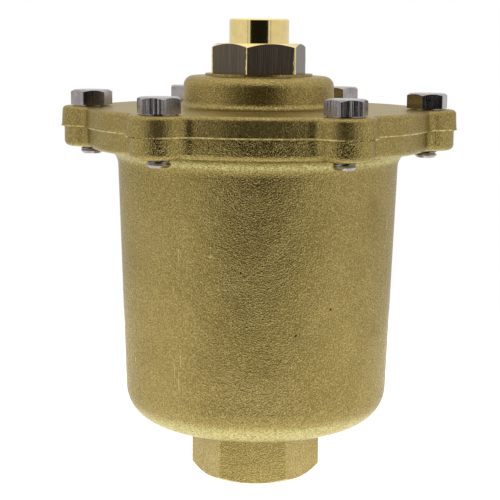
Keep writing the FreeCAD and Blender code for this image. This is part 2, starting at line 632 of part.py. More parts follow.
def make_valve_lever():
    """A steel strip: an eye round the fulcrum pin, a hole for the valve, and an open hook."""
    body = new_body("valve_lever", PIVOT_X, PIVOT_Z, "open_angle")
    half = "lever_thick / 2"
    eye = "pin_radius + pivot_play + lever_thick"
    hook = "hanger_pin + hook_play + lever_thick"
    strip = outline(body, "strip_outline",
                    [("0", f"-({half})"), (LEVER_ARM, f"-({half})"), (LEVER_ARM, half),
                     ("0", half)])
    extrude(body, "strip", strip, "lever_width", both=True)
    extrude(body, "eye", circle(body, "eye_outline", eye, plane="XZ_Plane"), "lever_width",
            both=True)
    extrude(body, "hook", circle(body, "hook_outline", hook, x=LEVER_ARM, plane="XZ_Plane"),
            "lever_width", both=True)
    eye_hole = circle(body, "eye_hole_outline", "pin_radius + pivot_play", plane="XZ_Plane")
    extrude(body, "eye_hole", eye_hole, f"lever_width + {PAST}", cut=True, both=True)
    hook_hole = circle(body, "hook_hole_outline", "hanger_pin + hook_play", x=LEVER_ARM,
                       plane="XZ_Plane")
    extrude(body, "hook_hole", hook_hole, f"lever_width + {PAST}", cut=True, both=True)
    left = f"{LEVER_ARM} - hanger_pin - hook_play"
    right = f"{LEVER_ARM} + hanger_pin + hook_play"
    mouth = outline(body, "mouth_outline",
                    [(left, "0"), (right, "0"), (right, f"{hook} + {PAST}"),
                     (left, f"{hook} + {PAST}")])
    extrude(body, "mouth", mouth, f"lever_width + {PAST}", cut=True, both=True)
    stem_hole = circle(body, "stem_hole_outline", "valve_stem", x="valve_arm",
                       offset=half)
    extrude(body, "stem_hole", stem_hole, "lever_thick", cut=True, back=True)
    return body


def make_lever_bracket():
    """A U of sheet steel under the cover whose two ears hold the fulcrum pin."""
    body = new_body("lever_bracket")
    back = f"{SCREW_X} - lock_radius - bracket_edge"
    side_edge = f"({SCREW_Y} + lock_radius + bracket_edge)"
    front = f"-({SEAT_OFFSET} + seat_flats / 2 + part_gap)"
    ears = outline(body, "ear_outline",
                   [(back, JOINT), (front, JOINT), (front, f"{PIVOT_Z} + ear_radius"),
                    (f"{PIVOT_X} + ear_radius", PIVOT_Z),
                    (f"{PIVOT_X} + ear_radius", f"{PIVOT_Z} - ear_radius"),
                    (f"{PIVOT_X} - ear_radius", f"{PIVOT_Z} - ear_radius"),
                    (f"{PIVOT_X} - ear_radius", PIVOT_Z)],
                   {4: "ear_round", 5: "ear_round"})
    extrude(body, "ears", ears, f"2 * {EAR_OUTER}", both=True)
    behind = f"{back} - {PAST}"
    ahead = f"{PIVOT_X} + ear_radius + {PAST}"
    below = f"{PIVOT_Z} - ear_radius - {PAST}"
    between = outline(body, "between_outline",
                      [(behind, below), (ahead, below), (ahead, BRACKET_LOW),
                       (behind, BRACKET_LOW)])
    extrude(body, "between_ears", between, f"2 * {EAR_INNER}", cut=True, both=True)
    plate = outline(body, "plate_outline",
                    [(back, f"-{side_edge}"), (front, f"-{side_edge}"), (front, side_edge),
                     (back, side_edge)],
                    {corner: "bracket_round" for corner in range(4)}, plane="XY_Plane", offset=JOINT)
    extrude(body, "plate", plate, "bracket_thick", back=True)
    pin_hole = circle(body, "pin_hole_outline", "pin_radius + thread_play", x=PIVOT_X, y=PIVOT_Z,
                      plane="XZ_Plane")
    extrude(body, "pin_hole", pin_hole, f"2 * {EAR_OUTER} + {PAST}", cut=True, both=True)
    for side in ("", "-"):
        name = "screw_hole_far" if side else "screw_hole_near"
        hole = circle(body, f"{name}_outline", "screw_radius + part_gap", x=SCREW_X,
                      y=f"{side}{SCREW_Y}", offset=JOINT)
        extrude(body, name, hole, "bracket_thick", cut=True, back=True)
    return body


def make_bracket_screws():
    """Two slotted screws that hold the lever bracket, head down."""
    screw = new_body("screw")
    shape = outline(screw, "screw_outline",
                    [("0", "-screw_cap"), ("screw_head", "-screw_cap"), ("screw_head", "0"),
                     ("screw_radius", "0"),
                     ("screw_radius", f"{SCREW_GRIP} + bracket_thick + lock_thick"),
                     ("0", f"{SCREW_GRIP} + bracket_thick + lock_thick")],
                    {1: "screw_round"})
    revolve(screw, "screw_shank", shape)
    slot = outline(screw, "slot_outline",
                   [("-screw_head", "-screw_cap"), ("screw_head", "-screw_cap"),
                    ("screw_head", "slot_depth - screw_cap"),
                    ("-screw_head", "slot_depth - screw_cap")])
    extrude(screw, "slot", slot, "slot_width", cut=True, both=True)
    low = f"{BRACKET_LOW} - lock_thick"
    far_turn, near_turn = BRACKET_SCREW_TURNS
    return copies("bracket_screws", screw, [(SCREW_X, SCREW_Y, low, far_turn, UP),
                                            (SCREW_X, f"-{SCREW_Y}", low, near_turn, UP)])


def make_lock_washers():
    """Two split lock washers between the bracket and its screws' heads."""
    washer = new_body("lock_washer")
    shape = outline(washer, "washer_outline",
                    [("screw_radius + part_gap", "0"), ("lock_radius", "0"),
                     ("lock_radius", "lock_thick"), ("screw_radius + part_gap", "lock_thick")])
    revolve(washer, "washer", shape)
    split = outline(washer, "split_outline",
                    [("0", "-lock_gap / 2"), (f"lock_radius + {PAST}", "-lock_gap / 2"),
                     (f"lock_radius + {PAST}", "lock_gap / 2"), ("0", "lock_gap / 2")],
                    plane="XY_Plane")
    extrude(washer, "split", split, "lock_thick", cut=True)
    low = f"{BRACKET_LOW} - lock_thick"
    far_turn, near_turn = LOCK_WASHER_TURNS
    return copies("bracket_lock_washers", washer, [(SCREW_X, SCREW_Y, low, far_turn, UP),
                                                   (SCREW_X, f"-{SCREW_Y}", low, near_turn, UP)])


def make_pivot_pin():
    """The lever's fulcrum pin, with a groove for a clip outside each ear."""
    body = new_body("pivot_pin", PIVOT_X, PIVOT_Z)
    groove = f"{EAR_OUTER} + thread_play"
    groove_end = f"{groove} + clip_thick + thread_play"
    end = f"{groove_end} + pin_end"
    half = [("pin_radius", groove), ("clip_seat", groove), ("clip_seat", groove_end),
            ("pin_radius", groove_end), ("pin_radius", f"{end} - pin_bevel"),
            ("pin_radius - pin_bevel", end)]
    mirrored = [(x, f"-({y})") for x, y in reversed(half)]
    shape = outline(body, "pin_outline", [("0", f"-({end})")] + mirrored + half + [("0", end)],
                    plane="XY_Plane")
    revolve(body, "pin", shape, axis="Y_Axis")
    return body


def make_pin_clips():
    """Two open clips in the fulcrum pin's grooves, as one node."""
    clip = new_body("clip")
    face = circle(clip, "clip_outline", "clip_radius", plane="XZ_Plane")
    extrude(clip, "clip_disc", face, "clip_thick")
    hole = circle(clip, "clip_hole_outline", "clip_seat", plane="XZ_Plane")
    extrude(clip, "clip_hole", hole, "clip_thick", cut=True)
    gap = outline(clip, "clip_gap_outline",
                  [("-clip_mouth", "0"), ("clip_mouth", "0"),
                   ("clip_mouth", f"-clip_radius - {PAST}"),
                   ("-clip_mouth", f"-clip_radius - {PAST}")])
    extrude(clip, "clip_gap", gap, "clip_thick", cut=True)
    near = f"-({EAR_OUTER} + thread_play)"
    far = f"{EAR_OUTER} + thread_play + clip_thick"
    return copies("pin_clips", clip, [(PIVOT_X, near, PIVOT_Z, 0, UP),
                                      (PIVOT_X, far, PIVOT_Z, 0, UP)])


# ---------------------------------------------------------------- bucket and its hanger

def hanging(label):
    """A body whose own origin is on the hanger pin's axis."""
    return new_body(label, HOOK_X, HOOK_Z)


def make_bucket():
    """A drawn steel bucket, open downwards, with a vent hole and a lip under its weight."""
    body = hanging("bucket")
    inner = f"{BUCKET} - bucket_sheet"
    lip = f"{BUCKET} - bucket_lip"
    shape = outline(body, "bucket_outline",
                    [("0", BUCKET_HIGH), (BUCKET, BUCKET_HIGH),
                     (BUCKET, BUCKET_LOW), (lip, BUCKET_LOW),
                     (lip, f"{BUCKET_LOW} + bucket_sheet"), (inner, f"{BUCKET_LOW} + bucket_sheet"),
                     (inner, f"{BUCKET_HIGH} - bucket_sheet"), ("0", f"{BUCKET_HIGH} - bucket_sheet")],
                    {1: "bucket_round", 6: "bucket_round - bucket_sheet"})
    revolve(body, "bucket_shell", shape)
    vent = circle(body, "vent_outline", "vent_radius", x="vent_offset", offset=BUCKET_HIGH)
    extrude(body, "vent", vent, "bucket_sheet", cut=True, back=True)
    for side in ("", "-"):
        name = "rivet_hole_far" if side else "rivet_hole_near"
        hole = circle(body, f"{name}_outline", "rivet_radius + thread_play",
                      y=f"{side}{RIVET_Y}", offset=BUCKET_HIGH)
        extrude(body, name, hole, "bucket_sheet", cut=True, back=True)
    return body


def make_bucket_weight():
    """The ring inside the bucket's mouth that makes it sink in water."""
    body = hanging("bucket_weight")
    outer = f"({BUCKET} - bucket_sheet)"
    low = f"{BUCKET_LOW} + bucket_sheet"
    shape = outline(body, "weight_outline",
                    [(f"{outer} - weight_width", low), (outer, low),
                     (outer, f"{low} + weight_height"),
                     (f"{outer} - weight_width", f"{low} + weight_height")])
    revolve(body, "weight", shape)
    return body


def make_bucket_hanger():
    """A U of sheet steel riveted to the crown, whose two ears hold the hanger pin."""
    body = hanging("bucket_hanger")
    crown = f"{BUCKET_HIGH} + hanger_sheet"
    top = "hanger_pin + ear_top"
    ears = outline(body, "ear_outline",
                   [("-hanger_ear", BUCKET_HIGH), ("hanger_ear", BUCKET_HIGH), ("hanger_ear", top),
                    ("-hanger_ear", top)],
                   {2: "ear_corner", 3: "ear_corner"})
    extrude(body, "ears", ears, f"2 * {HANGER_OUTER}", both=True)
    wide = f"hanger_ear + {PAST}"
    between = outline(body, "between_outline",
                      [(f"-({wide})", crown), (wide, crown), (wide, f"{top} + {PAST}"),
                       (f"-({wide})", f"{top} + {PAST}")])
    extrude(body, "between_ears", between, f"2 * {HANGER_INNER}", cut=True, both=True)
    edge = f"({RIVET_Y} + rivet_head + rivet_edge)"
    foot = outline(body, "foot_outline",
                   [("-hanger_half", f"-{edge}"), ("hanger_half", f"-{edge}"),
                    ("hanger_half", edge), ("-hanger_half", edge)],
                   {corner: "foot_corner" for corner in range(4)}, plane="XY_Plane", offset=BUCKET_HIGH)
    extrude(body, "foot", foot, "hanger_sheet")
    pin_hole = circle(body, "pin_hole_outline", "hanger_pin + thread_play", plane="XZ_Plane")
    extrude(body, "pin_hole", pin_hole, f"2 * {HANGER_OUTER} + {PAST}", cut=True, both=True)
    for sign in ("", "-"):
        name = "rivet_hole_far" if sign else "rivet_hole_near"
        hole = circle(body, f"{name}_outline", "rivet_radius + thread_play",
                      y=f"{sign}{RIVET_Y}", offset=crown)
        extrude(body, name, hole, "hanger_sheet", cut=True, back=True)
    return body


def make_hanger_pin():
    """The pin in the hanger's ears that sits in the lever's hook, peened at both ends."""
    body = hanging("hanger_pin")
    end = f"{HANGER_OUTER} + peen"
    half = [("hanger_pin", HANGER_OUTER), ("hanger_head", HANGER_OUTER),
            ("hanger_head", f"{end} - pin_bevel"), ("hanger_head - pin_bevel", end)]
    mirrored = [(x, f"-({y})") for x, y in reversed(half)]
    shape = outline(body, "pin_outline", [("0", f"-({end})")] + mirrored + half + [("0", end)],
                    plane="XY_Plane")
    revolve(body, "pin", shape, axis="Y_Axis")
    return body


def make_hanger_rivets():
    """Two round-head rivets through the hanger's foot and the crown, as one node."""
    rivet = new_body("rivet")
    grip = "hanger_sheet + bucket_sheet"
    shape = outline(rivet, "rivet_outline",
                    [("0", f"-({grip}) - peen"), ("rivet_head", f"-({grip}) - peen"),
                     ("rivet_head", f"-({grip})"), ("rivet_radius", f"-({grip})"),
                     ("rivet_radius", "0"), ("rivet_head", "0"), ("rivet_head", "rivet_cap"),
                     ("0", "rivet_cap")],
                    {1: "peen_round", 6: "rivet_round"})
    revolve(rivet, "rivet_solid", shape)
    top = f"{HOOK_Z} - hang + hanger_sheet"
    return copies("hanger_rivets", rivet, [(HOOK_X, RIVET_Y, top, 0, UP),
                                           (HOOK_X, f"-{RIVET_Y}", top, 0, UP)])


def make_inlet_tube():
    """The tube that leads from the inlet up inside the bucket, with a collar on the floor."""
    body = new_body("inlet_tube")
    inner = "tube_radius - tube_wall"
    top = f"{FLOOR} + tube_rise"
    shape = outline(body, "tube_outline",
                    [(inner, "inlet_depth"), ("tube_radius", "inlet_depth"), ("tube_radius", FLOOR),
                     ("collar_radius", FLOOR), ("collar_radius", f"{FLOOR} + collar_height"),
                     ("tube_radius", f"{FLOOR} + collar_height"), ("tube_radius", top),
                     (inner, top)],
                    {4: "collar_round"})
    revolve(body, "tube", shape)
    return body


# ---------------------------------------------------------------- the whole trap

def make_all():
    """Every sub-part, each a separate labelled object."""
    gasket_low = f"{JOINT} - gasket_thick"
    return [
        make_body(),
        make_cover(),
        ring("cover_gasket", f"{BORE_TOP} + gasket_play", f"{BORE_TOP} + gasket_width", gasket_low,
             JOINT),
        make_cover_bolts(),
        make_outlet_fitting(),
        ring("fitting_gasket", "shank_radius + gasket_play", "fitting_flats / 2 - 2 * gasket_play",
             f"{FITTING_SEAT} - gasket_thick", FITTING_SEAT),
        make_valve_seat(),
        make_seat_gasket(),
        make_valve_head(),
        make_valve_lever(),
        make_lever_bracket(),
        make_bracket_screws(),
        make_lock_washers(),
        make_pivot_pin(),
        make_pin_clips(),
        make_bucket(),
        make_bucket_weight(),
        make_bucket_hanger(),
        make_hanger_pin(),
        make_hanger_rivets(),
        make_inlet_tube(),
    ]


def check(parts):
    """Stop with a plain message if any object failed or any sub-part isn't a sound solid."""
    for item in doc.Objects:
        if "Invalid" in item.State or "Error" in item.State:
            raise RuntimeError(f"{item.Name} ({item.Label}) failed: {item.State}")
    for part in parts:
        if part.Shape.isNull() or not part.Shape.isValid() or not part.Shape.Solids:
            raise RuntimeError(f"{part.Label} is not a sound solid")


def write(parts):
    os.makedirs("parts", exist_ok=True)
    for part in parts:
        part.Shape.exportStep(f"parts/{part.Label}.step")
        print(f"{part.Label}: {len(part.Shape.Solids)} solids, {part.Shape.Volume:.1f} mm3")


fill_sheet()
all_parts = make_all()
doc.recompute()
check(all_parts)
write(all_parts)
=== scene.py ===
import json
import math
import random

import bmesh
import bpy
from mathutils import Matrix, Vector


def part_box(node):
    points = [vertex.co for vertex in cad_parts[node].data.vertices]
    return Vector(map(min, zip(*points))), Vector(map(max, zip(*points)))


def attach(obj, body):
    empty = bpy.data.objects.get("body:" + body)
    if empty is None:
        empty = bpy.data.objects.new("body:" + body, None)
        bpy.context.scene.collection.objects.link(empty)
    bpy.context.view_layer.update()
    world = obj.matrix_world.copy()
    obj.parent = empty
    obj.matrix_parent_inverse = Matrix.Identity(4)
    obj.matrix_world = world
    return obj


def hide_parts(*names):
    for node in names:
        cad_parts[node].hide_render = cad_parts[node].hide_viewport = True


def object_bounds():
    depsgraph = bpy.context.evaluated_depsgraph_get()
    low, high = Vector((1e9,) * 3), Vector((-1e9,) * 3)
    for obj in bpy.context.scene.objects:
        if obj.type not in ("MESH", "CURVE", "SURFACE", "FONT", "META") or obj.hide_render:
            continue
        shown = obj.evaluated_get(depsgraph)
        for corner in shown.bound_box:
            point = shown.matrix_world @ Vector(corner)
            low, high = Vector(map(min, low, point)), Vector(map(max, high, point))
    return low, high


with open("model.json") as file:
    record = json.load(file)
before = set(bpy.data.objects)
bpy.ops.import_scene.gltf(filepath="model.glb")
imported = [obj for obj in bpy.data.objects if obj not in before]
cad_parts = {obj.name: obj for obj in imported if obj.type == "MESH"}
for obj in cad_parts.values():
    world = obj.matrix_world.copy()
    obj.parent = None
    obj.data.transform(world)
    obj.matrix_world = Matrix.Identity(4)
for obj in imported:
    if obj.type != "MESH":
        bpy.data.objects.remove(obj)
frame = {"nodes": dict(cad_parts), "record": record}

cad_box = [list(map(float, corner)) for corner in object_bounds()]
nodes = frame["nodes"]
record = frame["record"]
mounts = {mount["name"]: mount for mount in record["mounts"]}
MM = 0.001

# The camera stands 2 degrees to the right of the front, at about the outlet's height, and looks
# down a little. Angles are in degrees and the lens in millimetres.
CAMERA_PLACE = (0.0188, -0.4838, 0.1562)
CAMERA_DOWN = 8.93
CAMERA_ROLL = 0.57
CAMERA_LENS = 98.97
CAMERA_SHIFT = -0.0142
CAMERA_TURN = math.atan2(CAMERA_PLACE[0], -CAMERA_PLACE[1])


# ---------------------------------------------------------------- places on the trap

# Where the cover meets the rim, the rim's underside, and the foot of the machined ring.
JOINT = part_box("cover")[0][2]
RIM_LOW = JOINT - 7.3 * MM
RING_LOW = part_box("cover")[1][2] - 0.8 * MM

# The bowl's wall: its radius at its foot, the foot's height and the casting draft.
BOWL_RADIUS = 46.1 * MM
BOWL_FOOT = 20.0 * MM
DRAFT = math.radians(1.88)

# Distances from the trap's axis: the foot of the cover's dome, a place just inside the outlet
# hexagon's flats, and where its corners are worn bright.
DOME_FOOT = 27.6 * MM
HEXAGON_INSIDE = 14.4 * MM
HEXAGON_WORN = 16.80 * MM


# ---------------------------------------------------------------- node tree helpers

class Tree:
    """A shader node tree with short calls for the nodes that the materials use."""

    def __init__(self, tree):
        self.tree = tree
        tree.nodes.clear()

    def node(self, kind, inputs=None, **settings):
        made = self.tree.nodes.new("ShaderNode" + kind)
        for name, value in settings.items():
            setattr(made, name, value)
        for name, value in (inputs or {}).items():
            self.feed(made.inputs[name], value)
        return made

    def feed(self, socket, value):
        if isinstance(value, bpy.types.NodeSocket):
            self.tree.links.new(value, socket)
        elif isinstance(value, bpy.types.Node):
            self.tree.links.new(value.outputs[0], socket)
        else:
            socket.default_value = value

    def maths(self, operation, *values):
        made = self.tree.nodes.new("ShaderNodeMath")
        made.operation = operation
        for index, value in enumerate(values):
            self.feed(made.inputs[index], value)
        return made.outputs[0]

    def total(self, *terms):
        """The sum of (value, share) terms."""
        result = 0.0
        for value, share in terms:
            result = self.maths("MULTIPLY_ADD", value, share, result)
        return result

    def step(self, value, low, high, start=0.0, end=1.0):
        """A smooth step from start at low to end at high."""
        made = self.node("MapRange", interpolation_type="SMOOTHSTEP")
        for name, given in (("Value", value), ("From Min", low), ("From Max", high),
                            ("To Min", start), ("To Max", end)):
            self.feed(made.inputs[name], given)
        return made.outputs[0]

    def between(self, share, start, end):
        """Start where the share is 0, and end where it is 1."""
        return self.step(share, 0.0, 1.0, start, end)

    def mix(self, factor, first, second):
        """The first colour where the factor is 0, and the second where it is 1."""
        made = self.tree.nodes.new("ShaderNodeMix")
        made.data_type = "RGBA"
        self.feed(made.inputs[0], factor)
        self.feed(made.inputs[6], first)
        self.feed(made.inputs[7], second)
        return made.outputs[2]

    def noise(self, place, scale, detail=2.0, roughness=0.5, distortion=0.0):
        return self.node("TexNoise", {"Vector": place, "Scale": scale, "Detail": detail,
                                      "Roughness": roughness, "Distortion": distortion}).outputs[0]

    def place(self, stretch=(1, 1, 1)):
        """Object coordinates in metres, stretched along the axes."""
        source = self.node("TexCoord").outputs["Object"]
        if stretch == (1, 1, 1):
            return source
        return self.node("Mapping", {"Vector": source, "Scale": stretch})

    def split(self, vector):
        return self.node("SeparateXYZ", {"Vector": vector}).outputs

    def from_axis(self, place):
        """The distance from the Z axis."""
        x, y, z = self.split(place)
        return self.node("VectorMath", {0: self.node("CombineXYZ", {"X": x, "Y": y})},
                         operation="LENGTH").outputs["Value"]

    def near(self, place, centre, size, edge=0.4):
        """1 inside an ellipsoid of that centre and half size, 0 outside, soft over its edge."""
        away = self.node("VectorMath", {0: place, 1: centre}, operation="SUBTRACT")
        scaled = self.node("VectorMath", {0: away, 1: size}, operation="DIVIDE")
        far = self.node("VectorMath", {0: scaled}, operation="LENGTH").outputs["Value"]
        return self.step(far, 1.0 - edge, 1.0 + edge, 1.0, 0.0)

    def bump(self, height, distance):
        return self.node("Bump", {"Height": height, "Distance": distance}).outputs[0]


def material(name, build):
    """A node material: build(tree, shader) wires the Principled shader's inputs."""
    made = bpy.data.materials.new(name)
    made.use_nodes = True
    tree = Tree(made.node_tree)
    shader = tree.node("BsdfPrincipled")
    output = tree.node("OutputMaterial")
    tree.feed(output.inputs["Surface"], shader)
    build(tree, shader)
    return made


def rgb(red, green, blue):
    return (red, green, blue, 1.0)


# ---------------------------------------------------------------- materials

CAST_LIGHT = rgb(0.395, 0.299, 0.105)
CAST_DARK = rgb(0.335, 0.250, 0.081)
CAST_BROWN = rgb(0.31, 0.207, 0.068)
# Painted shade: under the bowl, and in the grain's low places.
CAST_SHADE = rgb(0.23, 0.173, 0.051)
# Painted glints on the grain.
CAST_GLINT = rgb(0.54, 0.45, 0.175)
# The nicks' bright worn metal, and a painted reflection of the floor on what faces down.
CAST_NICK_AND_FLOOR_REFLECTION = rgb(0.60, 0.56, 0.25)
PIT_COLOUR = rgb(0.05, 0.035, 0.015)
# Painted shade for the corner round the dome.
DOME_CORNER_SHADE = rgb(0.11, 0.085, 0.035)
EDGE_TINT = rgb(0.92, 0.87, 0.76)

# Marks on the bowl's wall, as (degrees round from +X, height, half width, half height), the
# lengths in millimetres: pits left by sand, nicks and fine upright scratches from handling, and
# brown stains.
PITS = [(-94, 80, 0.42, 0.36), (-57, 67, 0.40, 0.40), (-72, 59, 0.36, 0.42)]
NICKS = [(-150, 45, 0.30, 0.90), (-121, 41, 0.15, 5.5), (-120, 50, 0.12, 4.0),
         (-123, 45, 0.12, 3.6), (-120, 84, 0.11, 6.5), (-106, 85, 0.45, 0.50),
         (-104, 96, 0.35, 0.30), (-22, 93, 0.35, 2.2), (-23, 85, 0.30, 0.9)]
STAINS = [(-31, 58, 1.6, 2.6), (-36, 99, 3.2, 4.2)]


def bowl_point(degrees, height):
    """The point of the bowl's wall in that direction and at that height."""
    radius = BOWL_RADIUS + (height - BOWL_FOOT) * math.tan(DRAFT)
    angle = math.radians(degrees)
    return Vector((radius * math.cos(angle), radius * math.sin(angle), height))


def marks(tree, place, spots):
    """1 on any of the spots, which lie on the bowl's wall."""
    result = 0.0
    for degrees, height, half_width, half_height in spots:
        size = Vector((half_width, half_width, half_height)) * MM
        spot = tree.near(place, bowl_point(degrees, height * MM), size)
        result = tree.maths("MAXIMUM", result, spot)
    return result


# How many noise cells there are to a metre, for the sand's grain and the slower changes.
GRAIN = 2050.0
FINE_GRAIN = 3400.0
COARSE_GRAIN = 600.0
REFLECTION_PATCHES = 900.0
WAVES = 70.0
STAIN_PATCHES = 60.0
TONES = 42.0
CAST_RELIEF = 0.28 * MM
ZONE_EDGE = 0.1 * MM


def cast_colour(tree, place, grain, pit, on_rim, on_cover):
    """Tones and stains, painted shade and floor reflection, and over them the grain with painted
    glints, the nicks and the pits.
    """
    upright = tree.split(place)[2]
    facing = tree.split(tree.node("NewGeometry").outputs["Normal"])[2]
    tone = tree.noise(place, TONES, 3.0, 0.6)
    colour = tree.mix(tree.step(tone, 0.35, 0.65), CAST_DARK, CAST_LIGHT)
    stain = tree.step(tree.noise(place, STAIN_PATCHES, 2.0, 0.5, 0.6), 0.60, 0.76, 0.0, 0.5)
    stain = tree.maths("MAXIMUM", stain, tree.maths("MULTIPLY", marks(tree, place, STAINS), 0.9))
    colour = tree.mix(stain, colour, CAST_BROWN)
    # Painted shade from the bowl: below the bowl's foot the inlet hexagon is darker.
    on_hexagon = tree.step(upright, BOWL_FOOT, BOWL_FOOT - 3 * MM, 0.0, 0.22)
    colour = tree.mix(on_hexagon, colour, CAST_SHADE)

    # Painted reflection of the bright floor: what faces down is lighter, in patches, the bowl's
    # foot more than the rim.
    reflects_from = tree.between(on_rim, -0.28, -0.50)
    reflects_fully = tree.between(on_rim, -0.60, -0.90)
    patches = tree.step(tree.noise(place, REFLECTION_PATCHES, 2.0), 0.40, 0.60, 0.5, 1.0)
    floor_reflection = tree.maths("MULTIPLY", tree.step(facing, reflects_from, reflects_fully), patches)
    colour = tree.mix(floor_reflection, colour, CAST_NICK_AND_FLOOR_REFLECTION)
    colour = tree.mix(tree.maths("MULTIPLY", on_cover, 0.3), colour, CAST_BROWN)

    # Painted shade lies in the corner round the dome.
    from_foot = tree.maths("ABSOLUTE", tree.maths("SUBTRACT", tree.from_axis(place), DOME_FOOT))
    corner_shade = tree.maths("MULTIPLY", tree.step(from_foot, 0.2 * MM, 0.9 * MM, 0.8, 0.0),
                       tree.step(upright, JOINT, JOINT + MM))
    colour = tree.mix(corner_shade, colour, DOME_CORNER_SHADE)

    # The grain's own tone, partly painted: painted shade in its low places and painted glints on
    # its high ones.
    colour = tree.mix(tree.step(grain, 0.55, 0.32, 0.0, 0.75), colour, CAST_SHADE)
    colour = tree.mix(tree.step(grain, 0.50, 0.70, 0.0, 0.70), colour, CAST_GLINT)
    nick = marks(tree, place, NICKS)
    colour = tree.mix(tree.maths("MULTIPLY", nick, 0.8), colour, CAST_NICK_AND_FLOOR_REFLECTION)
    return tree.mix(pit, colour, PIT_COLOUR)


def cast_brass(tree, shader):
    """Sand-cast brass: a fine, sharp grain, smoother on the cover and nearly flat on its ring."""
    place = tree.place()
    grain = tree.noise(place, GRAIN, 1.5, 0.55)
    fine = tree.noise(place, FINE_GRAIN, 1.0)
    coarse = tree.noise(place, COARSE_GRAIN, 1.0)
    wave = tree.noise(place, WAVES, 1.0)
    pit = marks(tree, place, PITS)
    upright = tree.split(place)[2]
    on_rim = tree.step(upright, RIM_LOW - MM, RIM_LOW)
    on_cover = tree.step(upright, JOINT - ZONE_EDGE, JOINT + ZONE_EDGE)
    on_ring = tree.step(upright, RING_LOW, RING_LOW + ZONE_EDGE)

    rough = tree.between(on_rim, 0.78, 0.84)
    rough = tree.between(on_cover, rough, 0.55)
    rough = tree.between(on_ring, rough, 0.12)
    sand = tree.total((grain, 1.0), (fine, 0.45), (coarse, 0.35))
    height = tree.total((tree.maths("MULTIPLY", sand, rough), 1.0), (wave, 2.0), (pit, -1.0))
    sheen = tree.step(grain, 0.35, 0.65, 0.32, 0.21)
    duller = tree.between(on_cover, tree.between(on_rim, 0.0, -0.11), 0.06)

    colour = cast_colour(tree, place, grain, pit, on_rim, on_cover)
    tree.feed(shader.inputs["Base Color"], colour)
    tree.feed(shader.inputs["Roughness"], tree.maths("ADD", sheen, duller))
    tree.feed(shader.inputs["Normal"], tree.bump(height, CAST_RELIEF))
    shader.inputs["Metallic"].default_value = 1.0
    shader.inputs["Specular Tint"].default_value = EDGE_TINT


BURR_DARK = rgb(0.40, 0.31, 0.12)
BURR_LIGHT = rgb(0.66, 0.55, 0.23)


def bright_burr(tree, shader):
    """Freshly trimmed brass, brighter and smoother than the cast skin beside it."""
    place = tree.place()
    patch = tree.noise(place, 500.0, 2.0)
    colour = tree.mix(tree.step(patch, 0.4, 0.6), BURR_DARK, BURR_LIGHT)
    tree.feed(shader.inputs["Base Color"], colour)
    tree.feed(shader.inputs["Roughness"], tree.step(patch, 0.35, 0.65, 0.22, 0.36))
    tree.feed(shader.inputs["Normal"], tree.bump(patch, 0.04 * MM))
    shader.inputs["Metallic"].default_value = 1.0


BRASS_LIGHT = rgb(0.92, 0.74, 0.33)
BRASS_WARM = rgb(0.84, 0.65, 0.27)
SKIN_DARK = rgb(0.100, 0.079, 0.056)
SKIN_LIGHT = rgb(0.150, 0.120, 0.090)


def machined_brass(tree, shader):
    """Turned, bright brass. The hexagon keeps the bar's dull brown skin on its flats."""
    place = tree.place()
    radius = tree.from_axis(place)
    facing = tree.split(tree.node("NewGeometry").outputs["True Normal"])[2]
    upright = tree.step(tree.maths("ABSOLUTE", facing), 0.10, 0.2, 1.0, 0.0)
    ragged = tree.total((tree.noise(place, 420.0, 2.0), 0.7 * MM), (-0.5, 0.7 * MM))
    on_hexagon = tree.step(radius, HEXAGON_INSIDE, HEXAGON_INSIDE + 0.1 * MM)
    short_of_edge = tree.step(tree.maths("ADD", radius, ragged), HEXAGON_WORN,
                              HEXAGON_WORN + 0.2 * MM, 1.0, 0.0)
    skin = tree.maths("MULTIPLY", tree.maths("MULTIPLY", upright, on_hexagon), short_of_edge)
    lines = tree.noise(tree.place((1, 1, 0.03)), 2600.0, 2.0)
    rings = tree.noise(tree.place((0.02, 0.02, 1)), 6000.0, 1.0)
    bloom = tree.noise(place, 260.0, 3.0, 0.6)
    bright = tree.mix(tree.step(bloom, 0.35, 0.7), BRASS_LIGHT, BRASS_WARM)
    dull = tree.mix(tree.step(lines, 0.3, 0.7), SKIN_DARK, SKIN_LIGHT)
    tree.feed(shader.inputs["Base Color"], tree.mix(skin, bright, dull))
    tree.feed(shader.inputs["Roughness"], tree.total((skin, 0.2), (1.0, 0.11)))
    height = tree.total((tree.maths("MULTIPLY", lines, skin), 1.0), (rings, 0.12))
    tree.feed(shader.inputs["Normal"], tree.bump(height, 0.03 * MM))
    shader.inputs["Metallic"].default_value = 1.0


SCREW_PALE = rgb(0.42, 0.385, 0.38)
SCREW_DARK = rgb(0.31, 0.285, 0.275)
SCREW_LINES = rgb(0.55, 0.53, 0.52)


def bolt_steel(tree, shader):
    """Stainless cap screws: rolled flats with fine upright lines."""
    place = tree.place()
    lines = tree.noise(tree.place((1, 1, 0.02)), 2400.0, 2.0)
    bands = tree.noise(tree.place((1, 1, 0.04)), 800.0, 2.0)
    smudge = tree.noise(place, 300.0, 3.0, 0.6)
    colour = tree.mix(tree.step(smudge, 0.35, 0.7), SCREW_PALE, SCREW_DARK)
    colour = tree.mix(tree.step(lines, 0.55, 0.75, 0.0, 0.5), colour, SCREW_LINES)
    tree.feed(shader.inputs["Base Color"], colour)
    tree.feed(shader.inputs["Roughness"], tree.step(smudge, 0.3, 0.7, 0.13, 0.21))
    height = tree.total((lines, 0.5), (bands, 1.5))
    tree.feed(shader.inputs["Normal"], tree.bump(height, 0.04 * MM))
    shader.inputs["Metallic"].default_value = 1.0


SHEET_CLEAN = rgb(0.63, 0.62, 0.60)
SHEET_STAINED = rgb(0.45, 0.41, 0.36)


